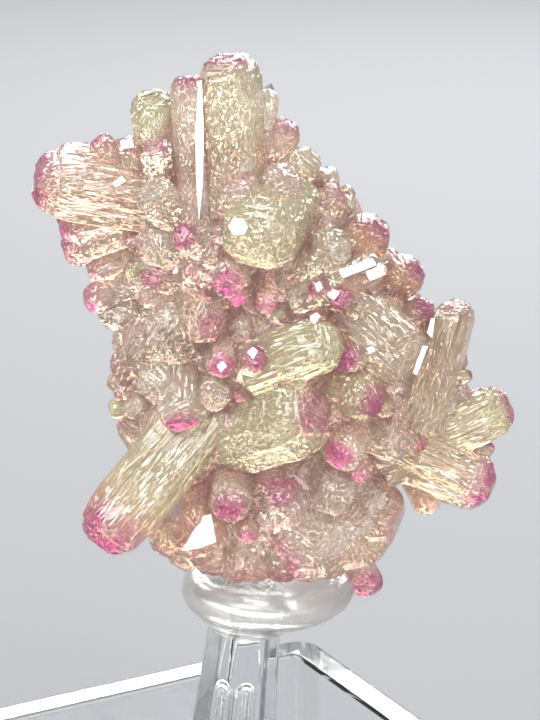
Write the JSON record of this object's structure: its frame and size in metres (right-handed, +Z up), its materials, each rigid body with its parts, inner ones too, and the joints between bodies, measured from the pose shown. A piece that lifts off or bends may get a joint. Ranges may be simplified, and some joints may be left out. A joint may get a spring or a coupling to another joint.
{
  "type": "vesuvianite crystal specimen on a box base",
  "caption": "Fused cluster of stout vesuvianite prisms with pink tips, held by a pad of glue on a clear tapered post in a clear square box base.",
  "frame": {"origin": "centre of the box base's underside, on the surface it stands on", "axes": "+Z up; X and Y along the sides of the square box base; the display side faces 29 degrees from -Y towards -X"},
  "size_m": [0.0318, 0.0318, 0.0319],
  "materials": {
    "vesuvianite": "glassy champagne and yellow-green crystals with magenta tips",
    "set_glue": "milky, glossy",
    "clear_post_plastic": "clear moulded plastic",
    "clear_box_plastic": "clear moulded plastic"
  },
  "bodies": {
    "root": {"crystal_cluster": "vesuvianite", "glue_pad": "set_glue", "post": "clear_post_plastic", "box_base": "clear_box_plastic"}
  },
  "joints": []
}
